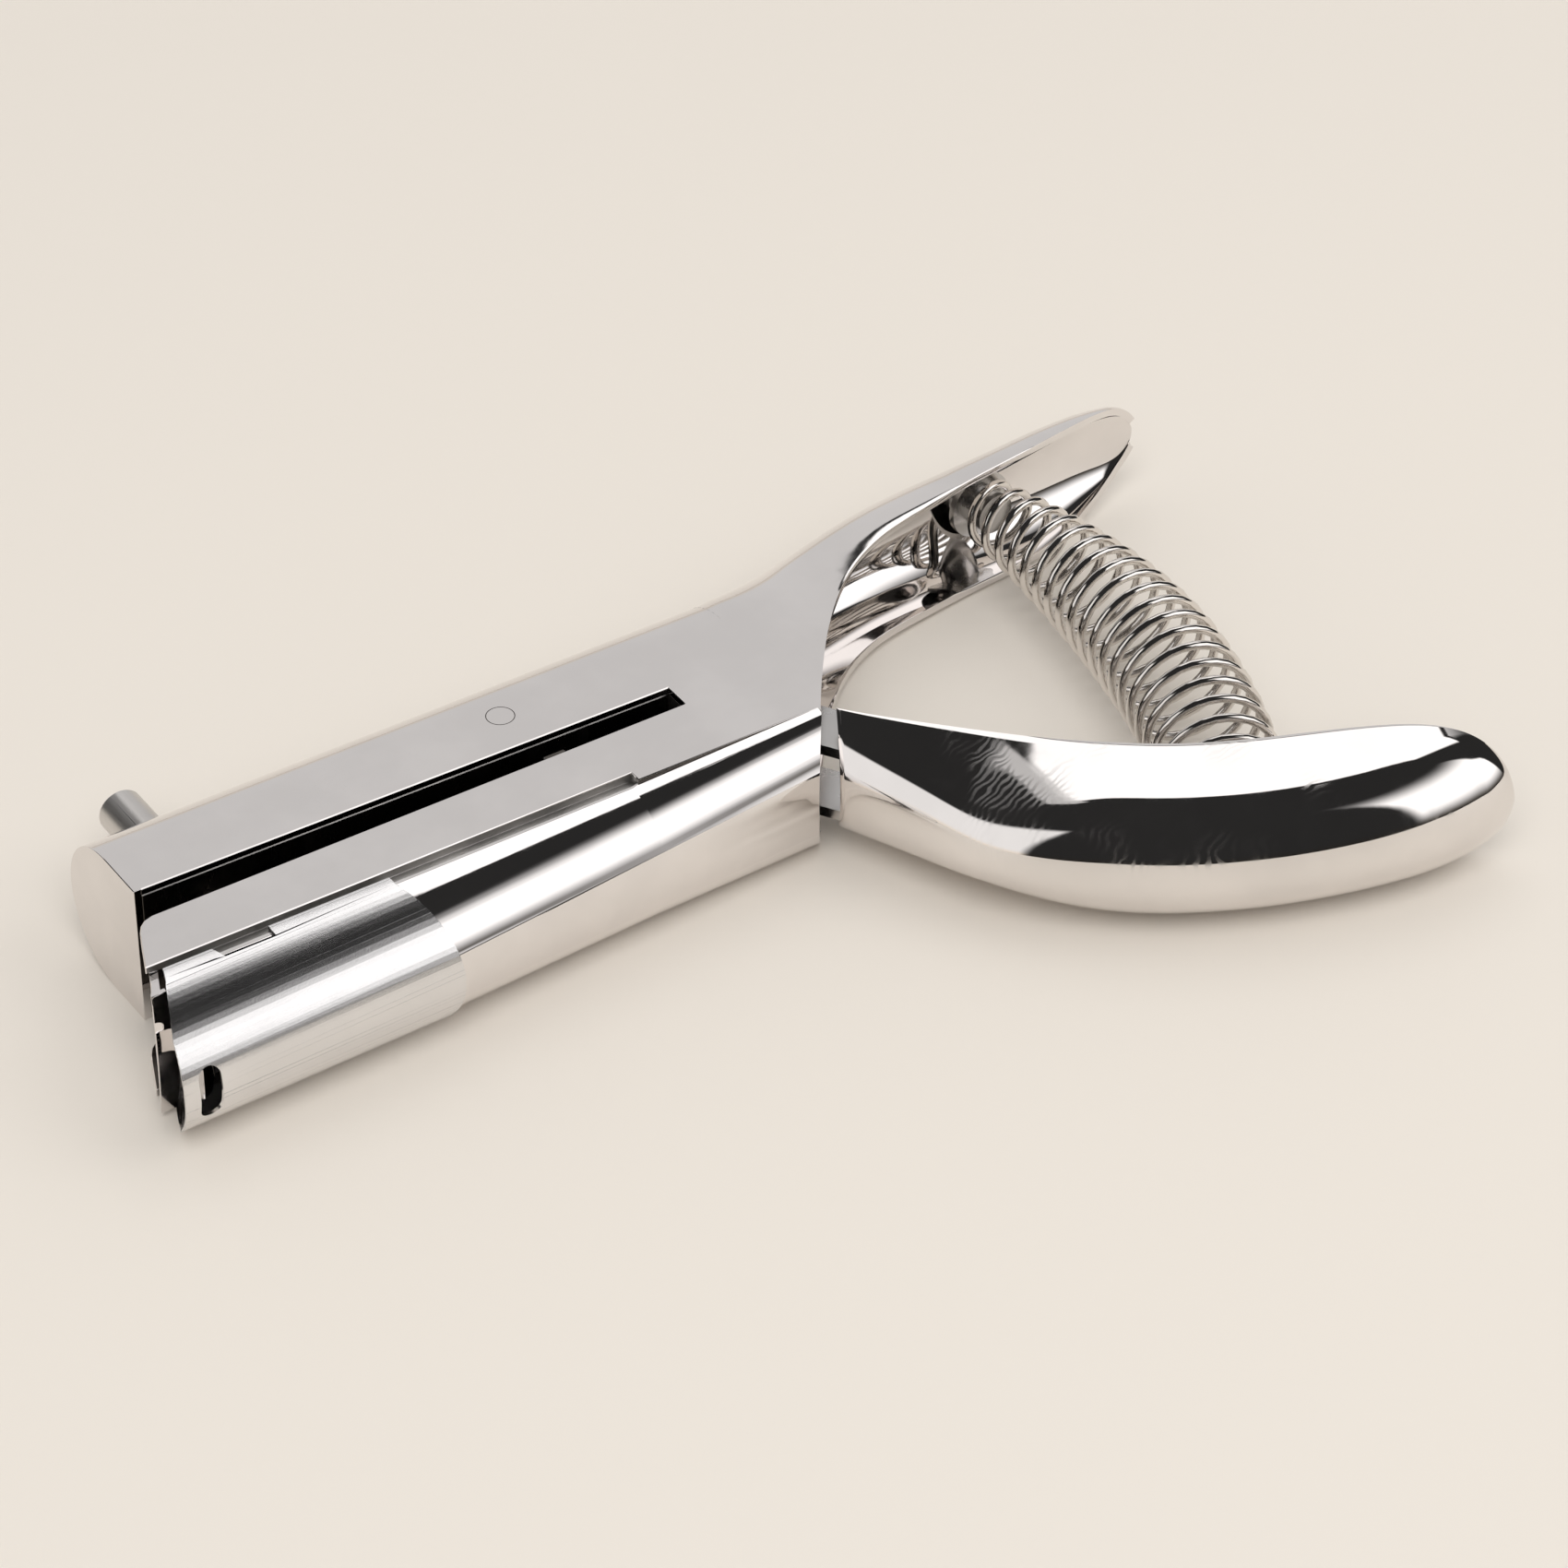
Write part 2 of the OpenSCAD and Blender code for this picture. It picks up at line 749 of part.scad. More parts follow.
module cross_pin() {
    color([0.6, 0.6, 0.6])
    translate([-punch_x, cross_y, mid - plate_gap / 2 - plate_t - 0.4])
        cylinder(d = cross_d, h = plate_gap + 2 * plate_t + 0.8, $fn = 48);
}

// Tray: a thin trough that hangs in the grooves by two turned lips
module chip_tray() {
    color([0.74, 0.73, 0.72])
    difference() {
        intersection() {
            union() {
                difference() {
                    tray_bar(0, -90, -29);
                    tray_bar(tray_t, -91, -28);
                }
                for (s = [0, 1])
                    translate([-90, groove_low + tray_fit,
                        s == 0 ? 0 : body_w - lip_in])
                        cube([60, lip_t, lip_in]);
            }
            translate([0, 0, -1])
                linear_extrude(height = body_w + 2)
                    polygon([
                        [-78.2, groove_low + tray_fit + lip_t],
                        [-79.0, -28.8], [-83.2, -38.6], [-84.8, -46],
                        [-30.7, -46], [-32.9, -39.9], [-36.9, -28.4],
                        [-36.9, groove_low + tray_fit + lip_t]
                    ]);
        }
        for (s = [0, 1])
            translate([0, 0, s == 0 ? -1 : body_w - 2])
                linear_extrude(height = 3)
                    polygon([
                        [-69.6, -26], [-68.3, -29.2], [-59.2, -29.2], [-59.2, -26]
                    ]);
        translate([-81.4, -50, mid - 3])
            cube([4, 16, 6]);
        for (s = [-3, 3])
            translate([-79.4, -50, mid + s])
                rotate([-90, 0, 0])
                    cylinder(d = 4, h = 16, $fn = 32);
    }
}

// Solid bar with the tray's belly, deeper to the front
module tray_bar(inset, x0, x1) {
    hull()
        for (x = [x0, x1])
            belly_disc(x, groove_low - belly_y + 0.35 + mid - inset
                - (x - belly_x) * tan(tray_rise), mid - inset);
}

// Catch: a leaf spring whose bump holds the tray shut
module tray_catch() {
    color([0.7, 0.7, 0.68])
    difference() {
        translate([0, 0, mid - 3])
            linear_extrude(height = 6)
                polygon([
                    [-80.2, -30.9], [-75.2, -30.9], [-75.2, -36.2],
                    [-77.6, -39.6], [-79.4, -40.6], [-80.8, -39.6],
                    [-80.3, -39.1], [-79.3, -39.9], [-78, -39.2],
                    [-75.8, -36.1], [-75.8, -31.5], [-80.2, -31.5]
                ]);
        jaw_front_plate();
    }
}

body_shell();
nose_plate();
jaw_front_plate();
upper_frame();
lower_frame();
throat_stop();
upper_guide();
lower_guide();
anvil_block();
die_bush();
pivot_rivet();
washer_near();
washer_far();
upper_spring_seat();
tray_catch();
spring();
lever_plate_near();
lever_plate_far();
lever_hub();
lever_saddle();
lower_handle();
lower_spring_seat();
punch_rod();
cross_pin();
chip_tray();
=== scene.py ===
# %% [markdown]
# # A plated hand punch on a table
# The real object is a plier punch for paper tickets. One bent sheet makes the jaws and the
# upper handle, a second one the lower handle, and a curved coil spring holds them apart.
# The solids of the mechanism are loaded first, in metres, and every piece made here goes
# exactly where its solid lies. The looks come from smoother surfaces, plated metal and a
# studio that the metal can mirror. Shapes are written in millimetres below and scaled by
# `mm` where they enter a mesh.

# %% Load the solids
import math
import bmesh
import bpy
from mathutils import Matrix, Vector


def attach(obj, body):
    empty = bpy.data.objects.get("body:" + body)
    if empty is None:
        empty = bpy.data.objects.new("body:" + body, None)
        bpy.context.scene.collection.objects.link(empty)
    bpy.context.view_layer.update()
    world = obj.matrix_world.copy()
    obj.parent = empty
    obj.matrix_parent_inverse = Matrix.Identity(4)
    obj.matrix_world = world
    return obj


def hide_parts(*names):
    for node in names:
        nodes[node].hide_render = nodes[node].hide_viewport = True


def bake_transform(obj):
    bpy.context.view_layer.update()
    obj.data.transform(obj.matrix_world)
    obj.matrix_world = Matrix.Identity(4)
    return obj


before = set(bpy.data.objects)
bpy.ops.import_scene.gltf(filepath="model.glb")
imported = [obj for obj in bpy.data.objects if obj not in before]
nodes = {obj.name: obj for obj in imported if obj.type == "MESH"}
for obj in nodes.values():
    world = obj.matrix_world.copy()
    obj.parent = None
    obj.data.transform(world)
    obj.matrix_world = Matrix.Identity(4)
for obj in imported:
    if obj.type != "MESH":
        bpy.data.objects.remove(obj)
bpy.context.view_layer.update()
print("solids loaded:", len(nodes))

mm = 0.001
mid = 13.5  # height of the middle plane over the table, half the width of the jaws
spine = 16.1  # y of the jaws' upper edge
join = 45.3  # x at which the jaws end and the handle's own surface begins

# %% [markdown]
# ## Writing shader maths as plain expressions
# A material is a small graph of nodes. Wiring Math nodes by hand hides the idea, so one
# class holds a socket and turns +, -, * and / into Math nodes. Anything else is made by
# one method that takes the node's type, its settings and the values of its inputs.

# %% A socket that can be calculated with
class Wire:
    def __init__(self, tree, socket):
        self.tree = tree
        self.socket = socket

    def math(self, operation, *others):
        made = self.tree.nodes.new("ShaderNodeMath")
        made.operation = operation
        for place, value in enumerate((self,) + others):
            if isinstance(value, Wire):
                self.tree.links.new(value.socket, made.inputs[place])
            else:
                made.inputs[place].default_value = value
        return Wire(self.tree, made.outputs[0])

    def __add__(self, other):
        return self.math("ADD", other)

    def __sub__(self, other):
        return self.math("SUBTRACT", other)

    def __rsub__(self, other):
        return (self * -1.0) + other

    def __mul__(self, other):
        return self.math("MULTIPLY", other)

    __rmul__ = __mul__

    def __truediv__(self, other):
        return self.math("DIVIDE", other)

    def above(self, low, high):
        """0 below low, 1 above high, and a smooth step between them."""
        t = ((self - low) / (high - low)).math("MAXIMUM", 0.0).math("MINIMUM", 1.0)
        return t * t * (3.0 - 2.0 * t)

    def between(self, low, high, soft):
        """1 between low and high, 0 outside, with both edges softened by soft."""
        return (self.above(low - soft, low + soft)
                * (1.0 - self.above(high - soft, high + soft)))


# %% A graph that makes nodes in one call
class Graph:
    def __init__(self, tree):
        self.tree = tree
        self.tree.nodes.clear()

    def make(self, kind, settings=None, **inputs):
        """Adds a node. An input goes by its name, or as i0, i6 by its number."""
        made = self.tree.nodes.new(kind)
        for key, value in (settings or {}).items():
            setattr(made, key, value)
        for key, value in inputs.items():
            numbered = key[0] == "i" and key[1:].isdigit()
            socket = made.inputs[int(key[1:]) if numbered else key.replace("_", " ")]
            if isinstance(value, Wire):
                self.tree.links.new(value.socket, socket)
            else:
                socket.default_value = value
        return made

    def out(self, made, place=0):
        return Wire(self.tree, made.outputs[place])

    def noise(self, vector, scale, detail, rough, stretch=(1, 1, 1)):
        if stretch != (1, 1, 1):
            vector = self.out(self.make("ShaderNodeMapping", None, Vector=vector,
                                        Scale=stretch))
        return self.out(self.make("ShaderNodeTexNoise", None, Vector=vector, Scale=scale,
                                  Detail=detail, Roughness=rough))

    def mix(self, factor, one, two):
        return self.out(self.make("ShaderNodeMix", {"data_type": "RGBA"}, i0=factor, i6=one,
                                  i7=two), 2)


# %% [markdown]
# ## Plated metal
# Nickel plate is a mirror, so nearly all its look is the room. What makes it real is what
# isn't perfect: a faint ripple left by the press, wiping marks that change the roughness
# over a few millimetres, and hair lines too fine to see one by one. Each finish below
# reads Object coordinates, which are metres on this object, so a noise scale of 100 gives
# marks about 10 mm long.

# %% The finishes
def metal(name, colour, rough, wipe, ripple, tint=0.06, grain=0.0, grain_way=(1, 1, 1),
          grain_scale=900.0, grain_lift=0.02, prints=0.0):
    """A metal with a roughness that wiping raises by up to wipe, a ripple in millimetres,
    darker clouds by the share tint and, if asked, a directed grain or finger prints."""
    material = bpy.data.materials.new(name)
    material.use_nodes = True
    g = Graph(material.node_tree)
    place = g.out(g.make("ShaderNodeTexCoord"), "Object")
    cloud = g.noise(place, 55.0, 3.0, 0.55)
    smear = g.noise(place, 160.0, 4.0, 0.6, (1.0, 1.0, 0.35))
    dark = tuple(c * (1.0 - tint) for c in colour)
    base = g.mix(cloud.above(0.35, 0.7), dark + (1,), colour + (1,))
    roughness = smear.above(0.45, 0.75) * wipe + rough
    height = cloud + smear * 0.12
    if prints:
        ridges = g.out(g.make("ShaderNodeTexWave", {"wave_type": "RINGS"}, Vector=place,
                              Scale=300.0, Distortion=9.0, Detail=1.0, Detail_Scale=0.9))
        touched = g.noise(place, 75.0, 1.0, 0.4).above(0.52, 0.66)
        roughness = roughness + ridges.above(0.35, 0.8) * touched * prints
        height = height + ridges * touched * 0.05
    if grain:
        hair = g.noise(place, grain_scale, 3.0, 0.7, grain_way)
        roughness = roughness + hair * grain
        height = height + hair * grain_lift
    bump = g.make("ShaderNodeBump", None, Strength=1.0, Distance=ripple * mm, Height=height)
    shader = g.make("ShaderNodeBsdfPrincipled", None, Metallic=1.0, Base_Color=base,
                    Roughness=roughness, Normal=g.out(bump))
    output = g.make("ShaderNodeOutputMaterial")
    g.tree.links.new(shader.outputs[0], output.inputs[0])
    return material


nickel = metal("nickel_plate", (0.83, 0.80, 0.785), rough=0.035, wipe=0.03, ripple=0.022)
nickel_grip = metal("nickel_plate_handled", (0.83, 0.80, 0.78), rough=0.035, wipe=0.05,
                    ripple=0.022, prints=0.14)
satin = metal("satin_plate", (0.81, 0.80, 0.80), rough=0.13, wipe=0.02, ripple=0.016,
              grain=0.10, grain_way=(2.0, 1, 1), grain_scale=2600.0, grain_lift=0.7)
wire_plate = metal("nickel_wire", (0.80, 0.765, 0.73), rough=0.07, wipe=0.05, ripple=0.008)
rod_steel = metal("ground_steel", (0.66, 0.64, 0.62), rough=0.24, wipe=0.05, ripple=0.012,
                  grain=0.20, grain_way=(1, 0.04, 1), grain_scale=1200.0)
plain_steel = metal("plain_steel", (0.56, 0.55, 0.54), rough=0.22, wipe=0.10, ripple=0.02)
dark_steel = metal("oiled_steel", (0.30, 0.29, 0.28), rough=0.35, wipe=0.15, ripple=0.02,
                   tint=0.3)
# dark blued steel for the inner liners, also used as painted shade on the ledge behind the
# groove and round the rivet head
blued_and_painted_shade = metal("blued_steel_and_painted_shade", (0.16, 0.145, 0.13), rough=0.26, wipe=0.15, ripple=0.03,
              tint=0.4)
sheared = metal("sheared_edge", (0.66, 0.64, 0.62), rough=0.30, wipe=0.15, ripple=0.04,
                tint=0.35, grain=0.3, grain_way=(0.2, 1, 1), grain_scale=2500.0,
                grain_lift=0.3)
brass = metal("washer_brass", (0.80, 0.62, 0.33), rough=0.25, wipe=0.08, ripple=0.02)
print("finishes:", len(bpy.data.materials))

# %% [markdown]
# ## Turning a solid into a finished piece
# A loaded solid is a bag of triangles with a corner at each face. A copy is welded, its
# flat areas are dissolved into single faces, and a small bevel gives each bent or cut edge
# the thin bright line that plated sheet always shows. The bevel keeps its full width
# everywhere, so edges too short for it are left out by their length. Weighted normals keep
# the flat cheeks flat right up to the curve, which a mirror shows at once.

# %% Helpers for finished pieces
weld_gap = 0.002
flat_below, bevel_above, smooth_below = 0.6, 40, 28  # degrees between two faces


def settle(piece):
    """Bakes the modifiers into the mesh."""
    bpy.context.view_layer.update()
    seen = piece.evaluated_get(bpy.context.evaluated_depsgraph_get())
    mesh = bpy.data.meshes.new_from_object(seen)
    piece.modifiers.clear()
    piece.data = mesh


def smooth_all(mesh, angle):
    for polygon in mesh.polygons:
        polygon.use_smooth = True
    mesh.set_sharp_from_angle(angle=math.radians(angle))


def new_piece(name, bm, finish):
    mesh = bpy.data.meshes.new(name)
    bm.to_mesh(mesh)
    bm.free()
    piece = bpy.data.objects.new(name, mesh)
    bpy.context.scene.collection.objects.link(piece)
    mesh.materials.append(finish)
    return piece


def dress(node, name, finish, bevel, body="frame", cut=None, turns=2, others=(), seam=None,
          least=0.0):
    """A welded, bevelled copy of a solid that takes the solid's place. cut is a plane that
    ends it, seam tells which corners meet another piece and stay square, and others pairs a
    second finish with a test for the faces that get it."""
    bm = bmesh.new()
    bm.from_mesh(nodes[node].data)
    bmesh.ops.remove_doubles(bm, verts=bm.verts, dist=weld_gap * mm)
    if cut:
        bmesh.ops.bisect_plane(bm, geom=bm.verts[:] + bm.edges[:] + bm.faces[:],
                               plane_co=cut[0], plane_no=cut[1], clear_outer=True)
    bmesh.ops.dissolve_limit(bm, angle_limit=math.radians(flat_below), verts=bm.verts,
                             edges=bm.edges)
    sharp = [e for e in bm.edges
             if e.is_manifold and e.calc_face_angle() > math.radians(bevel_above)
             and e.calc_length() > least * mm
             and not (seam and all(seam(v.co / mm) for v in e.verts))]
    bmesh.ops.bevel(bm, geom=sharp, offset=bevel * mm, offset_type="OFFSET", segments=turns,
                    profile=0.5, affect="EDGES", clamp_overlap=False)
    piece = new_piece(name, bm, finish)
    for place, (other, where) in enumerate(others):
        piece.data.materials.append(other)
        for polygon in piece.data.polygons:
            if where(polygon.center / mm, polygon.normal):
                polygon.material_index = place + 1
    smooth_all(piece.data, smooth_below)
    even = piece.modifiers.new("even", "WEIGHTED_NORMAL")
    even.keep_sharp = True
    even.weight = 80
    settle(piece)
    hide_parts(node)
    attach(piece, body)
    print(name, len(piece.data.polygons), "faces")
    return piece


# %% The jaws
groove_low, groove_high, groove_end, groove_reach = -27.25, -24.95, 11, 13.2
ledge_start, ledge_y = 9, -27.2
nose_x, nose_low = -71.6, -7.4


def in_groove(centre, normal):
    """The walls of the groove that the tray's lips run in."""
    return (groove_low < centre.y < groove_high and centre.x < groove_end
            and abs(centre.z - mid) < groove_reach)


def on_ledge(centre, normal):
    """The underside of the cheek's lower edge, behind the groove. It gets the dark steel as
    painted shade, a dark line in the crease there.
    """
    return centre.x > ledge_start and abs(centre.y - ledge_y) < 0.15 and normal.y < -0.6


def off_face(centre, normal):
    """All but the rivet's flat ends, which get the dark steel, so that a thin dark ring of
    painted shade surrounds them.
    """
    return abs(normal.z) < 0.98


def at_nose(corner):
    """Where the shell and the front wall meet."""
    return abs(corner.x - nose_x) < 0.02 and corner.y > nose_low


# the ledge behind the groove gets the dark steel as painted shade, a dark line in the crease
jaws = dress("body_shell", "jaw_shell", nickel, 0.18, cut=((join * mm, 0, 0), (1, 0, 0)),
             turns=1, others=((sheared, in_groove), (blued_and_painted_shade, on_ledge)), seam=at_nose,
             least=1.2)
nose = dress("nose_plate", "front_wall", nickel, 0.16, turns=3, seam=at_nose, least=0.5)
front = dress("jaw_front_plate", "lower_front_wall", nickel, 0.12, least=0.5)
# the rivet's sides get the dark steel, a painted shade ring round the head
rivet = dress("pivot_rivet", "pivot_rivet_head", nickel, 0.16, turns=3,
              others=((blued_and_painted_shade, off_face),))

# %% [markdown]
# ## The handles
# Each handle is one pressed sheet, a trough whose crown, rim and width change slowly
# along its length. A loft suits it: one cross section is drawn as a chain of edges,
# extruded again and again, and each new chain is moved to its own station. The stations
# pass through a B-spline first, because a mirror shows the smallest unevenness.

# %% Stations into smooth rows, and rows into a sheet
arch_points, side_points = 26, 10
least_side = 0.4
rows_per_station = 4
rim_bevel, rim_above, rim_smooth = 0.2, 50, 35  # a width, and degrees between two faces


def spline_rows(rows):
    """Uniform cubic B-spline through the control rows, with the ends held."""
    first = [2 * a - b for a, b in zip(rows[0], rows[1])]
    last = [2 * a - b for a, b in zip(rows[-1], rows[-2])]
    held = [first] + [list(r) for r in rows] + [last]
    made = []
    for i in range(len(held) - 3):
        steps = rows_per_station if i < len(held) - 4 else rows_per_station + 1
        for j in range(steps):
            t = j / rows_per_station
            weights = ((1 - t) ** 3 / 6, (3 * t ** 3 - 6 * t * t + 4) / 6,
                       (-3 * t ** 3 + 3 * t * t + 3 * t + 1) / 6, t ** 3 / 6)
            made.append([sum(weights[k] * held[i + k][c] for k in range(4))
                         for c in range(len(rows[0]))])
    return made


def section(row):
    """Points of a trough section from rim to rim: an arched crown and two sides. A row
    holds the crown's x and y, the rim's x and y, half the width of the arch and of the
    rim, and how far the sides lean out, in degrees. Without a lean they bend in or out
    to meet the rim."""
    crown_x, crown_y, rim_x, rim_y, half, rim_half, lean = row
    crown, rim = Vector((crown_x, crown_y, 0)), Vector((rim_x, rim_y, 0))
    depth = (rim - crown).length
    way = (rim - crown) / depth
    high = min(half, depth - least_side)
    lean = math.radians(lean)
    if lean:
        rest, slope = 1 - math.sin(lean), math.tan(lean)
        high = min((rim_half - depth * slope) / (math.cos(lean) - rest * slope),
                   (depth - least_side) / rest)
        half = (rim_half - (depth - high * rest) * slope) / math.cos(lean)
    side_half, side_high = half * math.cos(lean), high * (1 - math.sin(lean))
    points = []
    for k in range(-arch_points - side_points, arch_points + side_points + 1):
        if abs(k) <= arch_points:
            a = (math.pi / 2 - lean) * k / arch_points
            across, down = half * math.sin(a), high * (1 - math.cos(a))
        else:
            q = (abs(k) - arch_points) / side_points
            bend = q if lean else q * q
            across = math.copysign(side_half - (side_half - rim_half) * bend, k)
            down = side_high + (depth - side_high) * q
        p = crown + way * down
        points.append(Vector((p.x, p.y, mid + across)) * mm)
    return points


def press(name, rows, thick, finish, body, node=None, joins=None):
    """Lofts a sheet through the rows, gives it its thickness and rounds its rim.
    Where it joins another piece, at x = joins, its end stays open and unbevelled."""
    chains = [section(row) for row in rows]
    bm = bmesh.new()
    order = bm.verts.layers.int.new("order")
    ring = [bm.verts.new(p) for p in chains[0]]
    for place, vert in enumerate(ring):
        vert[order] = place
    edges = [bm.edges.new(pair) for pair in zip(ring, ring[1:])]
    for chain in chains[1:]:
        grown = bmesh.ops.extrude_edge_only(bm, edges=edges)["geom"]
        edges = [g for g in grown if isinstance(g, bmesh.types.BMEdge)]
        fresh = [g for g in grown if isinstance(g, bmesh.types.BMVert)]
        for vert in fresh:
            vert.co = chain[vert[order]]
        tops = set(fresh)
        edges = [e for e in edges if e.verts[0] in tops and e.verts[1] in tops]
    bmesh.ops.recalc_face_normals(bm, faces=bm.faces)
    middle = chains[len(chains) // 2]
    crown, rims = middle[len(middle) // 2], (middle[0] + middle[-1]) / 2
    near = min(bm.faces, key=lambda f: (f.calc_center_median() - crown).length)
    if near.normal.dot(crown - rims) < 0:
        bmesh.ops.reverse_faces(bm, faces=bm.faces)
    piece = new_piece(name, bm, finish)
    wall = piece.modifiers.new("wall", "SOLIDIFY")
    wall.thickness = thick * mm
    wall.offset = -1
    wall.use_even_offset = True
    settle(piece)
    if joins is not None:
        bm = bmesh.new()
        bm.from_mesh(piece.data)
        caps = [f for f in bm.faces if all(v.co.x < (joins + 0.01) * mm for v in f.verts)]
        bmesh.ops.delete(bm, geom=caps, context="FACES_ONLY")
        bm.to_mesh(piece.data)
        bm.free()
    edge = piece.modifiers.new("edge", "BEVEL")
    edge.width = rim_bevel * mm
    edge.segments = 2
    edge.limit_method = "ANGLE"
    edge.angle_limit = math.radians(rim_above)
    settle(piece)
    smooth_all(piece.data, rim_smooth)
    if node:
        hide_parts(node)
    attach(piece, body)
    print(name, len(piece.data.polygons), "faces")
    return piece


# %% The upper handle, one run of metal with the jaws
upper_sheet = 1.4
jaw_rim = -28.2
# x, y of the rim, then half the width at the rim and at the arch, as shares of mid
upper_rim = [
    (46, -27, 1, 1), (48.9, -22.8, 0.993, 1), (52.7, -17.6, 0.96, 0.972),
    (56.8, -12.2, 0.91, 0.922), (60.9, -7.1, 0.855, 0.867), (64.5, -3.1, 0.825, 0.837),
    (68.4, 0.8, 0.83, 0.842), (72.5, 4.1, 0.841, 0.853), (77.6, 7.3, 0.855, 0.867),
    (83, 9.6, 0.869, 0.881), (87.7, 10.8, 0.881, 0.892), (93.1, 11.8, 0.895, 0.902),
    (99.5, 12.9, 0.911, 0.916), (106.5, 14, 0.925, 0.93), (111.1, 14.5, 0.935, 0.94),
    (116.3, 15.1, 0.945, 0.95), (121.2, 16, 0.95, 0.95), (125.7, 17, 0.93, 0.93),
    (129.8, 18.1, 0.89, 0.89), (133.2, 19.3, 0.84, 0.84), (136, 20.4, 0.78, 0.78),
    (138.7, 21.4, 0.72, 0.72), (141.2, 22.4, 0.65, 0.65), (143.4, 23.2, 0.575, 0.575),
    (145.5, 23.9, 0.475, 0.475), (147.2, 24.1, 0.37, 0.37), (148.48, 24.2, 0.23, 0.23)]
# x, and how far the crown has risen over the spine there
crown_rise = [
    (46, 0), (52.3, 0.6), (55.9, 1.18), (59.3, 1.94), (62.8, 2.93), (66.7, 4.08), (71, 5.21),
    (76, 6.65), (81.4, 7.96), (86.5, 8.91), (92.3, 9.6), (98.7, 10.1), (105.5, 10.3),
    (110.6, 10.3), (116, 10.4), (121, 10.6), (125.5, 10.8), (129.6, 11), (133, 11.1),
    (135.8, 11.1), (138.5, 11), (141, 10.8), (143.2, 10.6), (145.3, 10.4), (147.2, 10.2),
    (148.5, 10.1), (150, 9.6)]


def rise(x):
    for (x0, y0), (x1, y1) in zip(crown_rise, crown_rise[1:]):
        if x <= x1:
            return y0 + (y1 - y0) * max(0, (x - x0) / (x1 - x0))
    return crown_rise[-1][1]


upper_rows = [(x, spine + rise(x), x, y, mid * half, mid * rim_half, 0)
              for x, y, rim_half, half in upper_rim]
upper_rows = [(join, spine, join, jaw_rim, mid, mid, 0)] + spline_rows(upper_rows)
handle = press("upper_handle", upper_rows, upper_sheet, nickel, "frame", joins=join)

# %% The lower handle
lower_sheet = 1.2
# x, y of the crown, x, y of the rim, then half the width as a share of grip_half
grip = [
    (44, -36, 49.4, -26.6, 0.86), (45.6, -40.2, 51.6, -29.4, 0.86),
    (48.2, -46.6, 54.8, -33.2, 0.87), (50.4, -52.6, 58.2, -37.2, 0.88),
    (52.6, -58.6, 61.8, -41.3, 0.895), (55.6, -64.4, 65.6, -45.8, 0.915),
    (59.6, -69.8, 69.4, -50.2, 0.94), (64.2, -74.8, 73.4, -54.6, 0.965),
    (69.6, -79.6, 77.9, -58.8, 0.985), (75.4, -84, 82.6, -62.8, 1),
    (81.8, -87.8, 87.6, -66.4, 1), (88.6, -91.2, 93.2, -69.8, 1),
    (95.8, -94.2, 99.7, -73, 1), (103.2, -96.6, 106.8, -76, 1),
    (110.4, -98.5, 114.3, -79.1, 1), (117.2, -99.7, 121, -82.2, 1),
    (123.2, -100.2, 126.9, -85.3, 0.985), (128, -100.2, 131.2, -88.4, 0.93),
    (131.8, -99.8, 134.2, -91, 0.83), (134.6, -99.2, 136.2, -93.2, 0.68),
    (136.6, -98.5, 137.6, -95, 0.5), (137.8, -97.9, 138.3, -96.3, 0.26),
    (138.2, -97.6, 138.5, -96.8, 0.08)]
grip_half = 13.2
grip_lean, root_lean, root_row, root_fade = 7.5, 9, 8, 3


def lean_at(place):
    """The sides lean out root_lean degrees more near the jaws. That fades away over the
    last root_fade stations before root_row."""
    return grip_lean + root_lean * max(0, min(1, (root_row - place) / root_fade))


lower_rows = spline_rows([(a, b, c, d, grip_half * share, grip_half * share, lean_at(i))
                          for i, (a, b, c, d, share) in enumerate(grip)])
lower = press("lower_handle_grip", lower_rows, lower_sheet, nickel_grip, "lever",
              "lower_handle")

# %% [markdown]
# ## The spring
# It is one wire. A curve carries it best: its points come from a formula that winds a
# circle round a bent centre line and lets the radius grow towards the lower handle. The
# curve's own bevel makes the round wire.

# %% Winding the wire
centre_line = [(112.6, 19.5, mid), (116.4, -16, mid), (115.2, -46, mid), (91.5, -82.5, mid)]
curls, wire_thick, points_per_curl = 22, 1.6, 30
small_radius, large_radius, widest_at = 5.2, 10.4, 0.58
narrow_from, narrow_by = 0.9, 11  # the last curls draw in to fit the lower seat
even_pitch, growing_pitch = 0.93, 0.07  # curls lie a little closer at the upper end


def bezier(points, t):
    a, b, c, d = (Vector(p) for p in points)
    s = 1 - t
    return a * s ** 3 + b * 3 * s * s * t + c * 3 * s * t * t + d * t ** 3


coil = bpy.data.curves.new("return_spring", "CURVE")
coil.dimensions = "3D"
coil.bevel_depth = wire_thick / 2 * mm
coil.bevel_resolution = 3
coil.use_fill_caps = True
run = coil.splines.new("POLY")
count = curls * points_per_curl + 1
run.points.add(count - 1)
for i in range(count):
    u = i / (count - 1)
    t = even_pitch * u + growing_pitch * u * u
    centre = bezier(centre_line, t)
    ahead = (bezier(centre_line, t + 0.001) - bezier(centre_line, t - 0.001)).normalized()
    side = Vector((-ahead.y, ahead.x, 0))
    widening = math.sin(math.pi / 2 * min(1, t / widest_at))
    radius = small_radius + (large_radius - small_radius) * widening
    radius -= narrow_by * max(0, t - narrow_from)
    turn = 2 * math.pi * curls * u
    spot = centre + (side * math.cos(turn) + Vector((0, 0, 1)) * math.sin(turn)) * radius
    run.points[i].co = (*(spot * mm), 1)
holder = bpy.data.objects.new("coil_line", coil)
bpy.context.scene.collection.objects.link(holder)
bpy.context.view_layer.update()
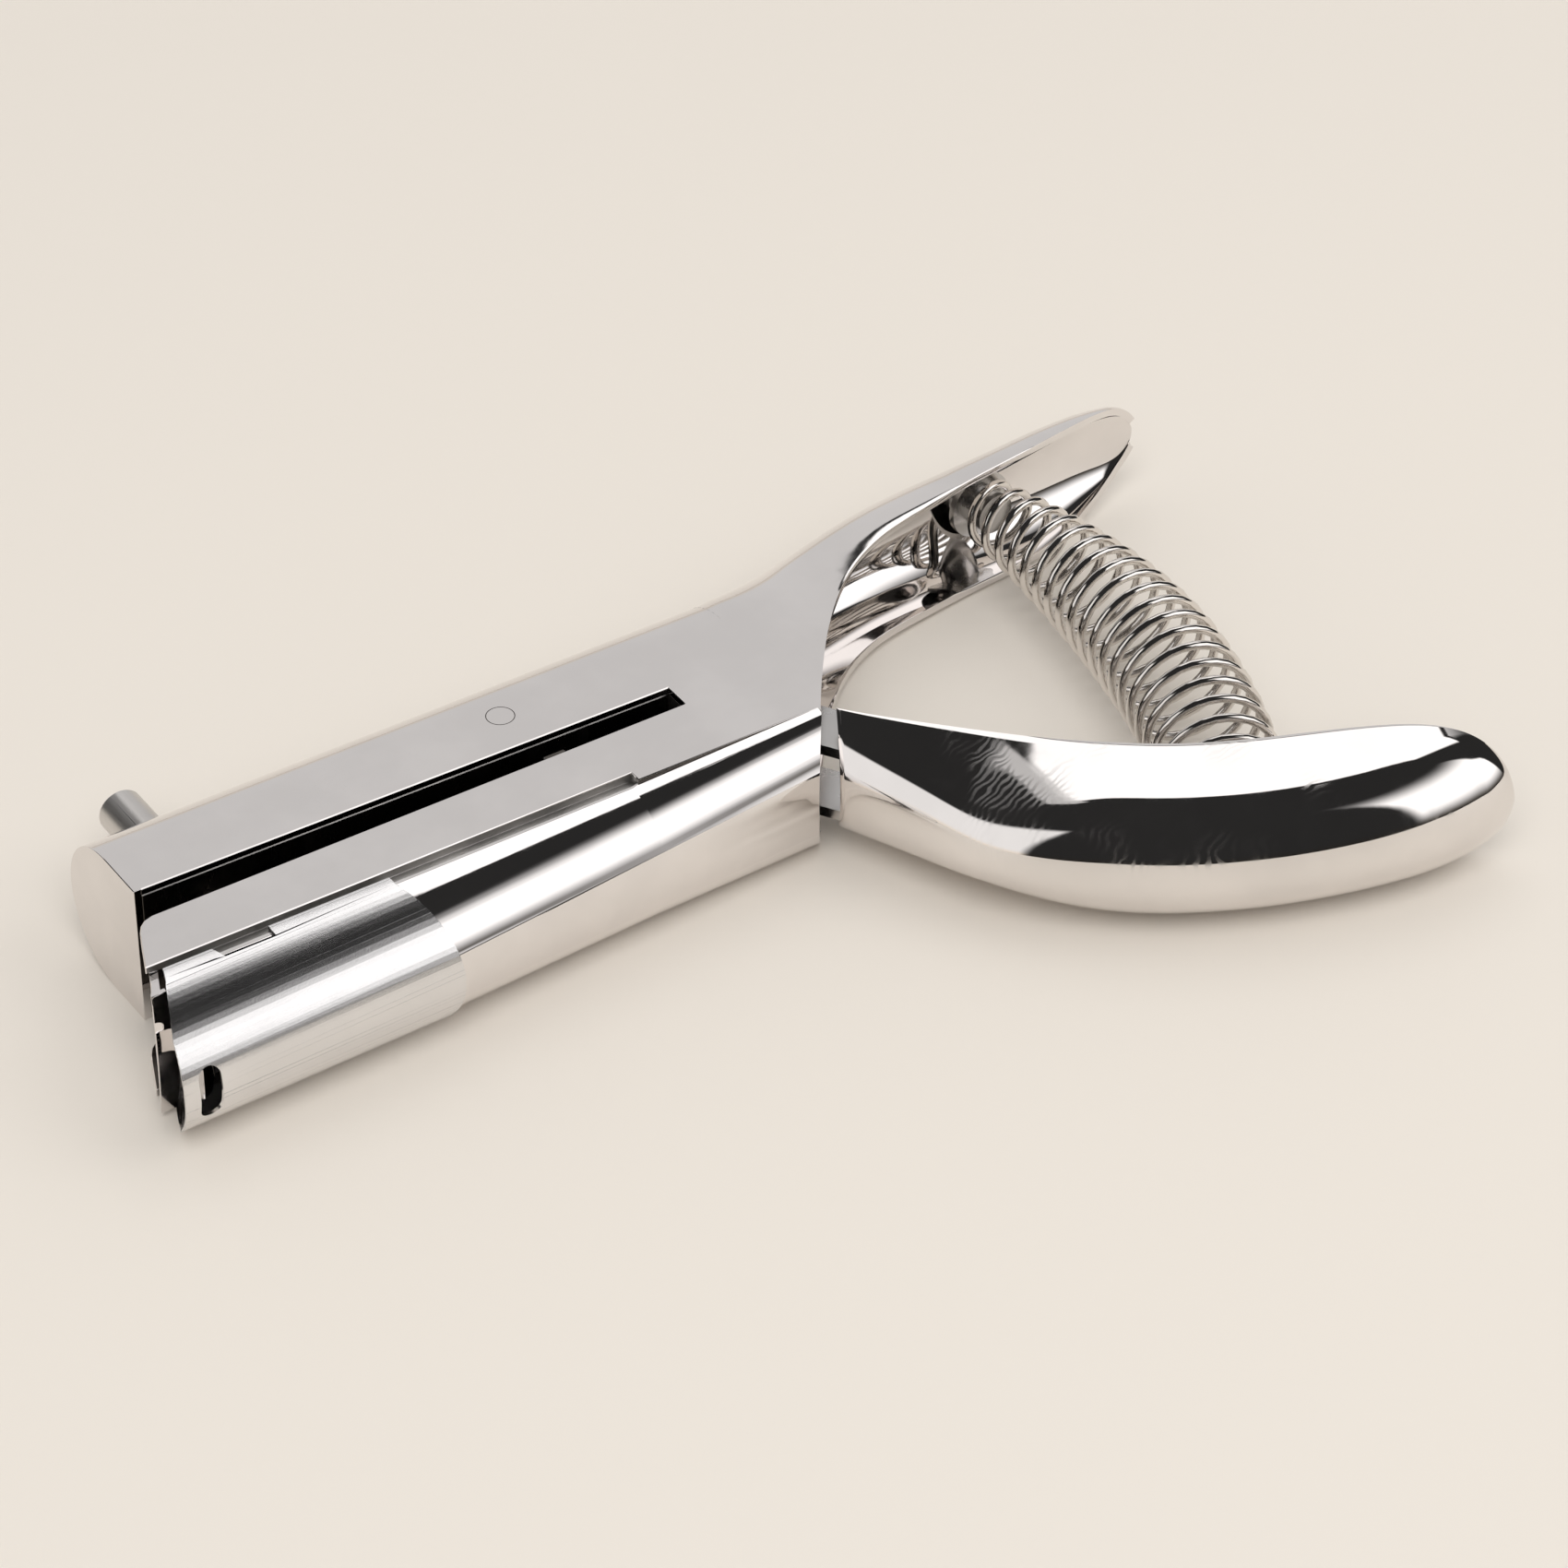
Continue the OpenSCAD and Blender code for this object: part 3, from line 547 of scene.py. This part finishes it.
mesh = bpy.data.meshes.new_from_object(
    holder.evaluated_get(bpy.context.evaluated_depsgraph_get()))
bpy.data.objects.remove(holder)
spring = bpy.data.objects.new("return_spring", mesh)
bpy.context.scene.collection.objects.link(spring)
mesh.materials.clear()
mesh.materials.append(wire_plate)
smooth_all(mesh, 60)
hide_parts("spring")
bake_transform(spring)
print("spring faces:", len(mesh.polygons))

# %% [markdown]
# ## The tray, the rod and what is inside
# The tray is thinner and duller than the shell. The rod is ground, not plated, so it shows
# lines along its length. The inner steel is only seen through the slot and from behind.

# %% Tray, rod and inner pieces
slot_edge = 24.5


def on_slot_edge(centre, normal):
    """The cut edges of an inner sheet, near the cheek that faces up."""
    return centre.z > slot_edge and abs(normal.z) < 0.9


tray = dress("chip_tray", "chip_tray_plate", satin, 0.12, body="tray", least=0.4)
rod = dress("punch_rod", "punch_rod_ground", rod_steel, 0.3, body="punch")
catch = dress("tray_catch", "catch_spring", nickel, 0.06)
upper_liner = dress("upper_frame", "upper_liner", blued_and_painted_shade, 0.15, turns=1, least=0.8,
                    others=((sheared, on_slot_edge),))
lower_liner = dress("lower_frame", "lower_liner", blued_and_painted_shade, 0.15, turns=1, least=0.8,
                    others=((sheared, on_slot_edge),))
inner_finishes = {
    "throat_stop": rod_steel, "upper_guide": rod_steel, "lower_guide": dark_steel,
    "anvil_block": dark_steel, "die_bush": rod_steel, "washer_near": brass,
    "washer_far": brass, "upper_spring_seat": plain_steel, "lever_plate_near": plain_steel,
    "lever_plate_far": plain_steel, "lever_hub": rod_steel, "lever_saddle": plain_steel,
    "lower_spring_seat": plain_steel, "cross_pin": rod_steel}
for node, finish in inner_finishes.items():
    for slot in nodes[node].material_slots:
        slot.material = finish

# %% [markdown]
# ## Table, studio and camera
# Metal shows its surroundings, so the studio is part of the finish. The world that
# reflections see is dark, with a pale wall and a bright box behind the table, a box on
# either side, a small one high up and a glow from below. Everything else is lit by an even
# pale sky and three large lamps, which give the table its plain level and a soft shadow.

# %% Table
table_reach = 2.5  # metres from the middle to each side
bm = bmesh.new()
bmesh.ops.create_grid(bm, x_segments=2, y_segments=2, size=table_reach)
table_top = bpy.data.materials.new("pale_table")
table_top.use_nodes = True
g = Graph(table_top.node_tree)
shader = g.make("ShaderNodeBsdfPrincipled", None, Base_Color=(0.85, 0.79, 0.715, 1),
                Roughness=0.6)
g.tree.links.new(shader.outputs[0], g.make("ShaderNodeOutputMaterial").inputs[0])
table = new_piece("table", bm, table_top)

# %% Studio seen in the metal
sky_level = 0.52
dimmest = 0.025
world = bpy.data.worlds.new("studio")
bpy.context.scene.world = world
world.use_nodes = True
g = Graph(world.node_tree)
look = g.make("ShaderNodeSeparateXYZ", None,
              Vector=g.out(g.make("ShaderNodeTexCoord"), "Generated"))
x, y, z = (g.out(look, k) for k in range(3))
turned = y.math("ARCTAN2", x) * (180 / math.pi)
raised = z.math("ARCSINE") * (180 / math.pi)


def patch(turn_low, turn_high, rise_low, rise_high, soft_turn, soft_rise):
    """1 inside a window of the room, 0 outside. Its sides and soft edges are degrees."""
    return (turned.between(turn_low, turn_high, soft_turn)
            * raised.between(rise_low, rise_high, soft_rise))


wall = patch(28, 112, -90, 40.7, 6.0, 0.4) * 0.66
box_back = patch(16, 84, 42.8, 62.5, 2.5, 0.5) * 1.35
box_right = turned.between(-72, -20, 2.0) * raised.above(-1.0, 21.0)
box_right = box_right * (1.0 - raised.above(40.0, 60.0)) * 1.45
# the left box crosses 180 degrees, so it is made of two patches that meet there
box_left = (patch(150, 182, -6, 50, 2.0, 3.0) + patch(-182, -156, -6, 50, 2.0, 3.0)) * 0.95
box_top = patch(84.5, 93, 55, 66, 1.0, 1.0) * 0.6
low_glow = (1.0 - raised.above(-6.0, -1.0)) * 0.5
bright = (wall + box_back + box_right + box_left + box_top).math("MAXIMUM", low_glow)
tone = g.mix(1.0 - raised.above(-2.0, 8.0), (1, 0.985, 0.98, 1), (0.98, 0.87, 0.74, 1))
mirror_side = g.make("ShaderNodeBackground", None, Color=tone, Strength=bright + dimmest)
plain_side = g.make("ShaderNodeBackground", None, Color=(1, 0.985, 0.965, 1),
                    Strength=sky_level)
ray = g.make("ShaderNodeLightPath")
both = g.make("ShaderNodeMixShader", None, i0=g.out(ray, "Is Glossy Ray"))
g.tree.links.new(plain_side.outputs[0], both.inputs[1])
g.tree.links.new(mirror_side.outputs[0], both.inputs[2])
g.tree.links.new(both.outputs[0], g.make("ShaderNodeOutputWorld").inputs[0])

# %% Lamps
lamp_target = Vector((0.03, -0.03, 0))


def lamp(name, turn, raised_by, far, size, watts):
    """A round lamp that faces the object from a direction in degrees, far metres away."""
    data = bpy.data.lights.new(name, "AREA")
    data.shape = "DISK"
    data.size = size
    data.energy = watts
    light = bpy.data.objects.new(name, data)
    a, e = math.radians(turn), math.radians(raised_by)
    way = Vector((math.cos(a) * math.cos(e), math.sin(a) * math.cos(e), math.sin(e)))
    light.location = lamp_target + way * far
    light.rotation_mode = "QUATERNION"
    light.rotation_quaternion = way.to_track_quat("Z", "Y")
    light.visible_glossy = False
    bpy.context.scene.collection.objects.link(light)


lamp("lamp_back", 60, 68, far=1.3, size=0.9, watts=1.2)
lamp("lamp_right", -46, 45, far=1.4, size=1.0, watts=2.5)
lamp("lamp_front", -122, 54, far=4.0, size=3.0, watts=76.0)

# %% Camera, where the photo was taken from
photo_focal, photo_width = 6300, 1700  # in the photo's pixels
sensor_width = 36
lens = bpy.data.cameras.new("photo_view")
lens.lens = sensor_width * photo_focal / photo_width
lens.clip_start, lens.clip_end = 0.01, 20
camera = bpy.data.objects.new("photo_view", lens)
camera.location = (-0.38225, -0.66538, 0.61530)
forward = Vector((0.43260, 0.65607, -0.61841))
camera.rotation_mode = "QUATERNION"
camera.rotation_quaternion = forward.to_track_quat("-Z", "Y")
bpy.context.scene.collection.objects.link(camera)
bpy.context.scene.camera = camera
bpy.context.scene.view_settings.view_transform = "Standard"
